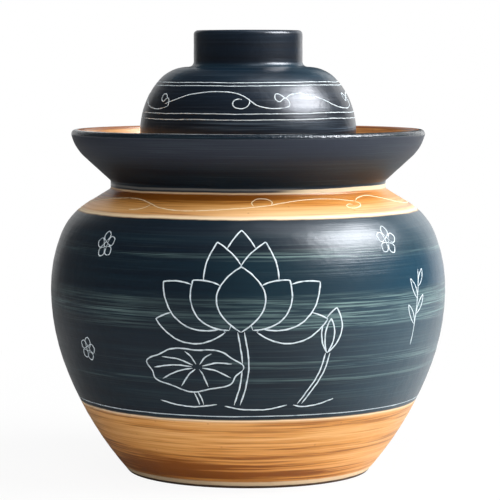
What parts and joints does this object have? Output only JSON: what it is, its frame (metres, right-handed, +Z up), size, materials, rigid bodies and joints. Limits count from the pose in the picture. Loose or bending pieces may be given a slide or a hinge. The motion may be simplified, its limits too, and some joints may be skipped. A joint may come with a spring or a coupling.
{
  "type": "fermentation crock",
  "caption": "Round glazed stoneware pickling crock with a flared water-seal collar, a domed outer lid with a ring knob, an inner lid and split pressing weights.",
  "frame": {"origin": "middle of the foot, on the ground", "axes": "+Z up along the crock's own axis; the decorated front faces -Y"},
  "size_m": [0.241, 0.241, 0.268],
  "materials": {
    "dark_glaze": "satin blue-black glaze with brushed grey-green streaks, tan at the shoulder, foot and inside of the collar",
    "lid_glaze": "satin blue-black glaze, bluer round the knob",
    "brown_glaze": "thin brown glaze",
    "bare_stoneware": "bare fired stoneware, matt and slightly speckled",
    "incised_line": "scratched line that shows pale slip through the glaze"
  },
  "bodies": {
    "crock": {"crock_body": "dark_glaze"},
    "outer_lid": {"outer_lid": "lid_glaze"},
    "inner_lid": {"inner_lid": "brown_glaze"},
    "left_weight": {"weight_half_left": "bare_stoneware"},
    "right_weight": {"weight_half_right": "bare_stoneware"}
  },
  "joints": [
    {"name": "outer_lid_lift", "type": "slide", "parent": "crock", "child": "outer_lid", "axis": [0, 0, 1], "range_m": [0, 0.2]},
    {"name": "inner_lid_lift", "type": "slide", "parent": "crock", "child": "inner_lid", "axis": [0, 0, 1], "range_m": [0, 0.1]},
    {"name": "weight_left_lift", "type": "slide", "parent": "crock", "child": "left_weight", "axis": [0, 0, 1], "range_m": [0, 0.12]},
    {"name": "weight_right_lift", "type": "slide", "parent": "crock", "child": "right_weight", "axis": [0, 0, 1], "range_m": [0, 0.12]}
  ],
  "couplings": [
    {"joint": "inner_lid_lift", "follows": "outer_lid_lift", "ratio": 0.5}
  ]
}
